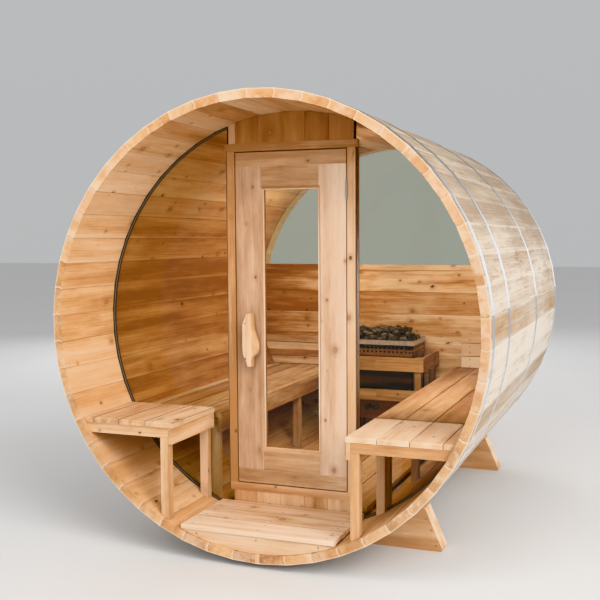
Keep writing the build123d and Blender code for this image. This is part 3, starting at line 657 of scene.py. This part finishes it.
def heaterMaterial(h):
    # polished dark steel, with painted reflections of the orange-brown wood, and vents under the
    # tray
    material, shader, place, normal = newMaterial("heater steel", {"Metallic": 1.0})
    x, y, z = place.apart()
    nx, ny, nz = [abs(n) for n in normal.apart()]
    warp = stretched((x, y, z), (3.0, 3.0, 14.0), 3.0, 0.6)
    brush = stretched((x, y, z), (150.0, 150.0, 4.0), 2.0, 0.6)
    # painted reflections: pale bands under the tray, halfway down and at the foot
    level = z + (warp - 0.5) * 0.05
    sheen = level.rise(0.655, 0.69) * (1 - level.rise(0.715, 0.735))
    sheen = sheen + (1 - level.rise(0.38, 0.47)) * 0.6
    sheen = sheen + level.rise(0.50, 0.53) * (1 - level.rise(0.54, 0.57)) * 0.5
    paintedReflection = (sheen * 0.75 + (warp - 0.5) * 0.9 + (brush - 0.5) * 0.35).ramp(*h["paintedReflection"])
    # two rows of upright slots in the front and side sheets
    run = (nx > 0.5).pick(x, y - h["ventMiddle"])
    slot = (abs((run / h["ventPitch"]).fract() - 0.5) < h["ventShare"]) * (nz < 0.5)
    upper, lower = (abs(z - middle) < half for middle, half in h["ventRows"])
    vent = slot * (upper + lower).clamped()
    # painted highlight: the tray's rim pale and less metallic
    rim = z.rise(*h["rim"])
    bright = (brush * 0.6 + warp * 0.5).ramp(*h["rimHighlightTones"])
    feed(shader, "Metallic", 1 - rim * 0.35)
    colour = rim.tint(vent.tint(paintedReflection, (0.004, 0.003, 0.002)), bright)
    rough = brush * 0.16 + vent * 0.5 + rim * 0.16 + 0.12
    finish(shader, colour, rough, brush * 0.2 - vent, 0.25, 0.0012)
    return material


def rubberMaterial(name, colour):
    material, shader, place, normal = newMaterial(name, {})
    specks = place.cloud(3.0, 0.6, 400.0)
    paler = tuple(c * 1.8 for c in colour)
    finish(shader, specks.ramp((0.3, colour), (0.8, paler)), specks * 0.2 + 0.5)
    return material


def sealMaterial(s, colour, lip):
    # a grey bead between two black lips
    material, shader, place, normal = newMaterial("pane seal", {})
    x, y, z = place.apart()
    up = z - barrel["axis"]
    off = abs((x * x + up * up).root() - s["radius"])
    specks = place.cloud(3.0, 0.6, 300.0) * 0.3 + 0.7
    shade = off.rise(*s["lip"])
    finish(shader, shade.tint(specks.tint(colour, lip), colour), specks * 0.4 + shade * 0.1)
    return material


blackRubber = rubberMaterial("black seal rubber", (0.012, 0.012, 0.012))
paint(glassMaterial("clear glass", (0.93, 0.94, 0.90)), "front_glass", "rear_glass", "door_glass")
paint(hoopMaterial(galvanised), "hoops")
stainless = metalMaterial("brushed stainless", (0.72, 0.71, 0.69), (0.50, 0.49, 0.47), 0.32,
                          (1, 1, 12), 5.0)
paint(stainless, "frame_hinge_leaves", "door_hinge_leaves")
paint(heaterMaterial(heaterSheet), "heater_body")
paint(sealMaterial(paneSeal, (0.016, 0.015, 0.014), (0.19, 0.165, 0.14)), "glass_gaskets")
paint(rubberMaterial("dark knob plastic", (0.005, 0.005, 0.005)), "heater_knobs")
print("glass and metal painted")


# mesh helpers

def piece(name, mesh, material, body, smooth=False):
    made = bpy.data.objects.new(name, mesh)
    bpy.context.scene.collection.objects.link(made)
    mesh.materials.append(material)
    for polygon in mesh.polygons:
        polygon.use_smooth = smooth
    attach(made, body)
    return made


def meshOf(name, shape):
    mesh = bpy.data.meshes.new(name)
    shape.to_mesh(mesh)
    shape.free()
    return mesh


def ringOf(shape, middle, side, other, radii):
    # vertices round a middle, one at each radius
    ring = []
    for k, radius in enumerate(radii):
        a = 2 * math.pi * k / len(radii)
        spot = middle + (side * math.cos(a) + other * math.sin(a)) * radius
        ring.append(shape.verts.new(spot))
    return ring


def bridge(shape, rings, closed=False):
    # faces from each ring to the next, and from the last to the first where they close
    for low, high in zip(rings, rings[1:] + rings[:1] * closed):
        for k in range(len(low)):
            m = (k + 1) % len(low)
            shape.faces.new((low[k], low[m], high[m], high[k]))


def box(low, high):
    shape = bmesh.new()
    bmesh.ops.create_cube(shape, size=1)
    for v in shape.verts:
        v.co = Vector(b if c > 0 else a for a, b, c in zip(low, high, v.co))
    return shape


def eased(name, shape, edges, offset, segments):
    bmesh.ops.bevel(shape, geom=edges, offset=offset, segments=segments, affect="EDGES")
    return meshOf(name, shape)


# stones

stones = {"low": (-0.203, 0.640, 0.752), "high": (0.203, 0.912, 0.848), "size": (0.021, 0.037),
          "seed": 7, "levels": 3, "inset": (0.016, 0.017), "lift": (0.020, 0.0255), "shrink": 0.08,
          "row": 0.046, "stride": 1.9, "past": 0.008,
          # share and fineness of the two noises that split the rocks
          "split": ((0.62, 1.4), (0.22, 3.5)), "stretch": ((0.65, 1.1), (0.65, 1.1), (0.55, 0.85)),
          "stray": ((-0.006, 0.006), (-0.006, 0.006), (-0.008, 0.009))}


def stoneMaterial():
    material, shader, place, normal = newMaterial("heater stones", {"Specular IOR Level": 0.3})
    patch = place.cloud(4.0, 0.65, 22.0)
    fine = place.cloud(4.0, 0.7, 160.0)
    # painted light: the stones paler where they face up
    paintedTopShading = normal.apart()[2].rise(0.35, 0.95) * 0.08
    colour = (patch * 0.55 + fine * 0.35 + paintedTopShading).ramp(
        (0.36, (0.010, 0.007, 0.005)), (0.47, (0.050, 0.036, 0.026)),
        (0.58, (0.13, 0.097, 0.07)), (0.70, (0.32, 0.26, 0.205)))
    finish(shader, colour, 0.6 + fine * 0.3, fine, 0.6, 0.002)
    return material


def addRock(heap, s, pick, foot, size):
    # one rock: a ball pushed in and out by noise, stretched, turned, and kept within the tray
    rock = bmesh.new()
    bmesh.ops.create_icosphere(rock, subdivisions=2, radius=1)
    shift = Vector([pick.uniform(-9, 9) for axis in range(3)])
    stretch = Vector([pick.uniform(*share) for share in s["stretch"]])
    (big, coarse), (small, fine) = s["split"]
    for v in rock.verts:
        push = 1 + big * noise.noise(v.co * coarse + shift)
        push += small * noise.noise(v.co * fine + shift)
        v.co = Vector(a * b for a, b in zip(v.co * push, stretch)) * size
    turn = Matrix.Rotation(pick.uniform(0, 6.28), 3, "Z")
    turn = turn @ Matrix.Rotation(pick.uniform(-0.5, 0.5), 3, "X")
    spot = Vector([c + pick.uniform(*stray) for c, stray in zip(foot, s["stray"])])
    for v in rock.verts:
        co = turn @ v.co + spot
        v.co = Vector(min(max(c, a), b) for c, a, b in zip(co, s["low"], s["high"]))
    mesh = meshOf("rock", rock)
    heap.from_mesh(mesh)
    bpy.data.meshes.remove(mesh)


def makeStones(s):
    # a heap of split rocks, lower towards the rim
    pick = random.Random(s["seed"])
    heap = bmesh.new()
    low, high = Vector(s["low"]), Vector(s["high"])
    for level in range(s["levels"]):
        inset = s["inset"][0] + level * s["inset"][1]
        z = low.z + s["lift"][0] + level * s["lift"][1]
        y = low.y + inset
        while y < high.y - inset + s["past"]:
            x = low.x + inset
            while x < high.x - inset + s["past"]:
                size = pick.uniform(*s["size"]) * (1 - s["shrink"] * level)
                addRock(heap, s, pick, (x, y, z), size)
                x += size * s["stride"]
            y += s["row"]
    mesh = meshOf("stone_heap", heap)
    made = piece("stone_heap", mesh, stoneMaterial(), "barrel")
    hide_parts("heater_stones")


makeStones(stones)
print("stones heaped")


# screws

screwSteel = metalMaterial("screw steel", (0.26, 0.235, 0.21), (0.11, 0.10, 0.09), 0.35,
                           (1, 1, 1), 300.0)
screwHead = {"radius": 0.0042, "sink": 0.0014, "proud": 0.0003, "star": (0.0019, 0.0026),
             "count": 24}
# the rows over the bench legs, and how the screws stand in each board
benchScrews = {"porch": (-1.073, -0.721), "room": (-0.645, -0.138, 0.368, 0.875),
               "boards": 4, "first": 0.065, "inset": 0.042, "wall": 0.80}


def addScrew(shape, spot, out, turn):
    # countersunk head with a six-lobed recess
    s = screwHead
    out = Vector(out)
    side = Matrix.Rotation(turn, 3, out) @ out.orthogonal().normalized()
    other = out.cross(side)
    low, high = s["star"]
    swell = [0.5 + 0.5 * math.cos(12 * math.pi * k / s["count"]) for k in range(s["count"])]
    star = [low + (high - low) * share for share in swell]
    rings = []
    for radii, height in (([s["radius"] * 1.02] * s["count"], -0.0008),
                          ([s["radius"]] * s["count"], 0.0001),
                          ([s["radius"] * 0.9] * s["count"], s["proud"]),
                          (star, s["proud"]), ([0.96 * r for r in star], -s["sink"])):
        rings.append(ringOf(shape, Vector(spot) + out * height, side, other, radii))
    bridge(shape, rings)
    shape.faces.new(rings[-1])


def screwSet(name, spots, out=forward, body="barrel"):
    pick = random.Random(name)
    shape = bmesh.new()
    for spot in spots:
        addScrew(shape, spot, out, pick.uniform(0, 3))
    piece(name, meshOf(name, shape), screwSteel, body)


def boardScrews(b, rows, edge=bench["edge"], top=bench["top"]):
    # two in each bench board over each leg row, as far as the barrel's wall
    middles = [edge + b["first"] + bench["board"] * k for k in range(b["boards"])]
    spots = [(x + shift, y) for x in middles for y in rows for shift in (-b["inset"], b["inset"])]
    return [(x, y, top) for x, y in spots if x < b["wall"]]


def mirrored(spots):
    return [(-x, y, z) for x, y, z in spots]


def grid(xs, ys, zs):
    return [(x, y, z) for x in xs for y in ys for z in zs]


def boardRow(first, pitch, count, *shifts):
    # places in a row of boards, one for each shift from the board
    return [first + pitch * k + shift for k in range(count) for shift in shifts]


# the screws in the other boards, as places along X, Y and Z
screwGrids = {"deck": ((-0.31, 0, 0.31), boardRow(-1.0435, 0.133, 3, -0.036, 0.036), (0.154,)),
              "fascia": ((-0.28, 0, 0.28), (-1.100,), (0.118,)),
              "floor": (boardRow(-0.347, 0.14, 5, 0.03, 0.104),
                        (-0.56, -0.2, 0.16, 0.52, 0.88), (0.169,)),
              "rest": ((0.49, 0.80), (0.9373,), boardRow(0.7795, -0.081, 3, -0.02, 0.02)),
              # the lowest slat of the backrest ends before this place
              "shortSlat": (0.70, 0.66),
              "guard": ((-0.255, -0.243, 0.243, 0.255), (0.590,), (0.618, 0.658, 0.438, 0.466)),
              "cradle": ((0.619, -0.658, 0.142), (0.642, -0.658, 0.093), (0.665, -0.658, 0.025))}


def makeScrews(b, g):
    porch = boardScrews(b, b["porch"])
    screwSet("porch_bench_screws", porch + mirrored(porch), upward)
    left = boardScrews(b, b["room"], bench["leftEdge"], bench["leftTop"])
    screwSet("room_bench_screws", boardScrews(b, b["room"]) + mirrored(left), upward)
    screwSet("deck_screws", grid(*g["deck"]), upward)
    screwSet("fascia_screws", grid(*g["fascia"]))
    screwSet("duckboard_screws", grid(*g["floor"]), upward)
    endX, topZ = g["shortSlat"]
    slats = [(x, y, z) for x, y, z in grid(*g["rest"]) if x < endX or z > topZ]
    screwSet("backrest_screws", slats)
    screwSet("guard_screws", grid(*g["guard"]))
    screwSet("cradle_screws", [*g["cradle"], *mirrored(g["cradle"])])


makeScrews(benchScrews, screwGrids)
print("screws driven")


# door handle

handle = {"middle": (-0.183, 0.9165), "back": -0.7322, "front": -0.7600,
          # height, left edge and right edge of the back, in millimetres
          "edge": ((-124, -15, 10), (-121, -18, 12.5), (-112, -20.5, 13), (-100, -24, 13.5),
                   (-88, -29, 14), (-80, -34, 16), (-72, -38, 24), (-62, -40, 34),
                   (-50, -41, 38.5), (-30, -41.5, 41.5), (-10, -41.5, 38.5), (20, -41, 28.5),
                   (45, -41, 20), (66, -40.5, 17), (78, -38, 16.5), (95, -31, 16),
                   (110, -25, 14), (119, -21.5, 12.5), (124, -17, 9)),
          "slope": (0.006, 0.65), "steps": 3,
          # the stand-offs: distance from the door and radius
          "posts": (0.9925, 0.8315), "postFoot": (-0.199, -0.7085), "postCount": 20,
          "postTurning": ((0, 0.0118), (0.003, 0.0118), (0.006, 0.0100), (0.012, 0.0088),
                          (0.018, 0.0100), (0.0235, 0.0116)),
          "screwX": -0.2015}


def handleMaterial():
    # pale heartwood face with the orange of the live edge round it
    look = dict(cedarFront, knots=0.5, rings=120, contrast=0.9)
    material, shader, place, normal = newMaterial("live edge cedar", {"Specular IOR Level": 0.4})
    x, y, z = place.apart()
    tone, knot, height, red = grain(look, x, y, z, x * 0.0 + 7.0, x * 0.0)
    colour = woodColour(look, tone - 0.10, knot, red)
    finishWood(shader, look, height)
    bark = place.cloud(3.0, 0.6, 45.0)
    face = (normal.apart()[1] * -1 + (bark - 0.5) * 0.6).rise(0.30, 0.90)
    feed(shader, "Base Color", (1 - face).tint(colour, (0.50, 0.30, 0.155)))
    return material


def handleSection(h, z, left, right, ease):
    # outline at one height, from the left edge of the back round the face to the right edge
    wave = 0.0011 * noise.noise(Vector((0, 3.7, z * 60)))
    slopeLeft = min(h["slope"][0], (right - left) * 0.28)
    slopeRight = right * h["slope"][1] - 0.003 + 2.5 * wave
    deep = (h["back"] - h["front"]) * (0.55 + 0.45 * ease)
    outline = [(left + 0.002, 0), (left, -0.16), (left + slopeLeft * 0.35, -0.62),
               (left + slopeLeft, -0.93), (left + slopeLeft * 1.7, -1.0),
               ((left + right - slopeRight) / 2 + wave, -1.0)]
    outline += [(right - slopeRight * share, y) for share, y in (
        (1.3, -1.0), (0.9, -0.92), (0.45, -0.6), (0.08, -0.22))]
    outline += [(right, -0.1), (right - 0.002, 0)]
    spots = []
    for x, y in outline:
        bumpy = 0.0007 * noise.noise(Vector((x * 90, y * 3, z * 45)))
        spots.append((h["middle"][0] + x, h["back"] + y * deep, h["middle"][1] + z + bumpy))
    return spots


def makeHandle(h):
    edge, steps = h["edge"], h["steps"]
    rows = [tuple(a + (b - a) * (step / steps) for a, b in zip(low, high))
            for low, high in zip(edge, edge[1:]) for step in range(steps)]
    rows.append(edge[-1])
    shape = bmesh.new()
    rings = []
    for n, row in enumerate(rows):
        # thinner towards both ends
        ease = min(1, 0.35 + min(n, len(rows) - 1 - n) * 0.22)
        z, left, right = (c / 1000 for c in row)
        rings.append([shape.verts.new(spot) for spot in handleSection(h, z, left, right, ease)])
    bridge(shape, rings)
    shape.faces.new(reversed(rings[0]))
    shape.faces.new(rings[-1])
    for height in h["posts"]:
        addPost(shape, h, Vector((*h["postFoot"], height)), Vector(forward))
    bmesh.ops.recalc_face_normals(shape, faces=shape.faces)
    screws = grid((h["screwX"],), (h["front"] - 0.0001,), h["posts"])
    screwSet("handle_screws", screws, body="door")
    mesh = meshOf("handle_slab", shape)
    made = piece("handle_slab", mesh, handleMaterial(), "door", True)
    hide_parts("door_handle")


def addPost(shape, h, foot, along):
    # a turned stand-off, waisted in the middle
    side = along.orthogonal().normalized()
    other = along.cross(side)
    rings = [ringOf(shape, foot + along * distance, side, other, [radius] * h["postCount"])
             for distance, radius in h["postTurning"]]
    bridge(shape, rings)
    shape.faces.new(rings[0][::-1])
    shape.faces.new(rings[-1])


makeHandle(handle)
print("handle carved")


# trims beside the panes: a slim channel at each jamb, and a black seal beside the upper boards

trim = {"wall": -0.6915, "soft": 0.3,
        "channel": {"near": 0.3106, "far": 0.3201, "deep": 0.0075, "low": 0.2060, "high": 1.7700},
        # the seal ends just under the shell
        "seal": {"near": 0.3022, "far": 0.3105, "deep": 0.0120, "low": 1.8075,
                 "high": barrel["axis"] + math.sqrt(0.9387 ** 2 - 0.3105 ** 2) - 0.004}}


def stripMesh(name, low, high, soft):
    # an upright strip with rounded long edges
    shape = box(low, high)
    tall = (high[2] - low[2]) / 2
    upright = [e for e in shape.edges if abs(e.verts[0].co.z - e.verts[1].co.z) > tall]
    return eased(name, shape, upright, min(high[0] - low[0], high[1] - low[1]) * soft, 3)


def makeTrims(t):
    steel = metalMaterial("pane channel", (0.46, 0.45, 0.44), (0.32, 0.31, 0.30), 0.42,
                          (1, 1, 6), 8.0)
    for hand, side in (("right", 1), ("left", -1)):
        for kind, prefix, material, slot in (
                ("channel", "pane_channel_", steel, "galvanised_steel"),
                ("seal", "board_seal_", blackRubber, "seal_rubber")):
            strip = t[kind]
            x0, x1 = sorted((side * strip["near"], side * strip["far"]))
            mesh = stripMesh(kind, (x0, t["wall"] - strip["deep"], strip["low"]),
                             (x1, t["wall"], strip["high"]), t["soft"])
            piece(prefix + hand, mesh, material, "barrel", True)


makeTrims(trim)
print("trims fitted")


# small joinery: the ends of the door frame's head, the beads that hold the door's pane, and a low
# backrest over the left bench, flat on the rear wall

joinery = {"soft": 0.0015, "shell": 0.9375,
           "horn": {"x": (0.3102, 0.3207), "y": (-0.7090, -0.6925), "z": (1.7708, 1.8062)},
           "bead": {"half": 0.1380, "wide": 0.0065, "gap": 0.0003, "soft": 0.002,
                    "y": (-0.6990, -0.6893), "z": (0.4085, 1.6025)},
           "rest": {"x": (-1.0, -0.4385), "y": (0.9702, 0.9857),
                    "slats": ((0.5600, 0.6080), (0.6120, 0.6980), (0.7020, 0.7450))}}
# the beads round the door's pane are given the pale deck wood, a painted highlight along the edge
# of the opening
beadWood = dict(cedarDeck, knots=0.2, spread=0.1)
slatWood = dict(cedarWall, spread=0.3, base=0.15)
railWood = dict(cedarBench, spread=0.1, contrast=1.0)


def boardMesh(name, x, y, z, soft=joinery["soft"]):
    # a board with eased edges, cut to the shell where it reaches it
    shape = box(*zip(x, y, z))
    for v in shape.verts:
        height = z[1] if v.co.z > sum(z) / 2 else z[0]
        reach = math.sqrt(joinery["shell"] ** 2 - (height - barrel["axis"]) ** 2)
        v.co.x = max(min(v.co.x, reach), -reach)
    return eased(name, shape, list(shape.edges), soft, 2)


def makeJoinery(j):
    horn = j["horn"]
    near, far = horn["x"]
    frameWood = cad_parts["door_frame"].data.materials[0]
    for hand, x in (("right", (near, far)), ("left", (-far, -near))):
        mesh = boardMesh("horn", x, horn["y"], horn["z"])
        piece("head_horn_" + hand, mesh, frameWood, "barrel")
    bead = j["bead"]
    half, wide, gap = bead["half"], bead["wide"], bead["gap"]
    low, high = bead["z"]
    upright = woodMaterial("upright beads", beadWood, boardsAcrossX(-1.0, 1.0, 301))
    level = woodMaterial("level beads", beadWood, boardsAlongX(0.0, 1.0, 305))
    tall, broad = (low, high), (wide - half, half - wide)
    for edge, x, z, wood in (("left", (-half + gap, -half + wide), tall, upright),
                             ("right", (half - wide, half - gap), tall, upright),
                             ("top", broad, (high - wide, high - gap), level),
                             ("bottom", broad, (low + gap, low + wide), level)):
        mesh = boardMesh("bead", x, bead["y"], z, bead["soft"])
        piece("glass_bead_" + edge, mesh, wood, "door")
    rest = j["rest"]
    slat = woodMaterial("left backrest slats", slatWood, boardsAlongX(0.5600, 0.0460, 311))
    rail = woodMaterial("left backrest rail", railWood, boardsAlongX(0.5, 1.0, 321))
    for n, (z, wood) in enumerate(zip(rest["slats"], (slat, slat, rail)), 1):
        mesh = boardMesh("slat", rest["x"], rest["y"], z)
        piece(f"left_backrest_{n}", mesh, wood, "barrel")


makeJoinery(joinery)
print("joinery added")


# rolled lip round the stone tray

lip = {"halfX": 0.2168, "y": (0.6302, 0.9248), "top": 0.7715, "radius": 0.0032, "corner": 0.012,
       "turns": 6, "count": 12}


def makeHeaterLip(h):
    corner, turns = h["corner"], h["turns"]
    x, (front, back) = h["halfX"] - corner, h["y"]
    front, back = front + corner, back - corner
    shape = bmesh.new()
    rings = []
    for cx, cy, start in ((x, back, 0), (-x, back, 90), (-x, front, 180), (x, front, 270)):
        for step in range(turns + 1):
            a = math.radians(start + step * 90 / turns)
            out = Vector((math.cos(a), math.sin(a), 0))
            middle = Vector((cx, cy, h["top"])) + out * (corner - h["radius"])
            rings.append(ringOf(shape, middle, out, Vector(upward), [h["radius"]] * h["count"]))
    bridge(shape, rings, closed=True)
    bmesh.ops.recalc_face_normals(shape, faces=shape.faces)
    steel = metalMaterial("polished lip", (0.82, 0.77, 0.70), (0.58, 0.53, 0.47), 0.26,
                          (1, 1, 1), 8.0)
    piece("tray_lip", meshOf("tray_lip", shape), steel, "barrel", True)


makeHeaterLip(lip)
print("heater trimmed")


# floor and light

floorLook = {"half": 40, "colour": (0.62, 0.61, 0.60), "darker": 0.97}
# spot, aim, size, power and colour
lights = {"key": ((6.4, -5.0, 4.9), (0, -0.3, 0.8), 5.5, 730, (1, 0.985, 0.965)),
          "front": ((-0.5, -9.0, 3.2), (0, 0, 1.0), 4.5, 190, (1, 0.98, 0.96)),
          "back": ((-3.5, 6.5, 4.0), (0, 0, 1.2), 4.0, 230, (1, 1, 1)),
          "porch": ((0.5, -2.3, 2.7), (0.0, -0.95, 0.15), 1.4, 21, (1, 0.985, 0.96)),
          # daylight that the panes let in
          "room": ((0.36, -0.40, 1.36), (0.34, 0.95, 0.80), 0.5, 15, (1, 0.98, 0.95)),
          "rear": ((0, 0.72, 1.5), (-0.6, -0.3, 0.8), 0.5, 8, (1, 0.97, 0.92))}
# the sky from the horizon up, and a pale wall beside the view for the steel to mirror
skyLook = {"dome": ((0.0, (0.52, 0.525, 0.53)), (0.25, (0.53, 0.535, 0.545)),
                    (0.7, (0.68, 0.69, 0.71))),
           "screen": (1.25, 1.27, 1.30), "east": (0.03, 0.16), "height": (0.35, 0.6)}


def makeFloor(f):
    material, shader, place, normal = newMaterial("studio floor", {"Roughness": 0.9})
    darker = tuple(c * f["darker"] for c in f["colour"])
    feed(shader, "Base Color", place.cloud(2.0, 0.5, 0.8).ramp((0.3, f["colour"]), (0.8, darker)))
    shape = bmesh.new()
    bmesh.ops.create_grid(shape, x_segments=1, y_segments=1, size=f["half"])
    mesh = meshOf("floor", shape)
    mesh.materials.append(material)
    floor = bpy.data.objects.new("floor", mesh)
    bpy.context.scene.collection.objects.link(floor)


def makeLight(name, spot, aim, size, power, colour):
    data = bpy.data.lights.new(name, "AREA")
    data.size, data.energy, data.color = size, power, colour
    lamp = bpy.data.objects.new(name, data)
    bpy.context.scene.collection.objects.link(lamp)
    lamp.location = spot
    lamp.rotation_euler = (Vector(aim) - Vector(spot)).to_track_quat("-Z", "Y").to_euler()
    lamp.visible_camera = False
    lamp.visible_glossy = name == "key"


def makeSky(s):
    world = bpy.data.worlds.new("studio")
    world.use_nodes = True
    tree = world.node_tree
    place = tree.nodes.new("ShaderNodeTexCoord")
    east, north, height = Wire(tree, place.outputs["Generated"]).apart()
    screen = east.rise(*s["east"]) * (north > 0) * (1 - abs(height).rise(*s["height"]))
    colour = screen.tint(height.ramp(*s["dome"]), s["screen"])
    background = tree.nodes["Background"]
    tree.links.new(colour.socket, background.inputs["Color"])
    background.inputs["Strength"].default_value = 1.0
    bpy.context.scene.world = world


makeFloor(floorLook)
for lightName, look in lights.items():
    makeLight(lightName, *look)
makeSky(skyLook)
bpy.context.scene.view_settings.view_transform = "Khronos PBR Neutral"
print("stage lit")
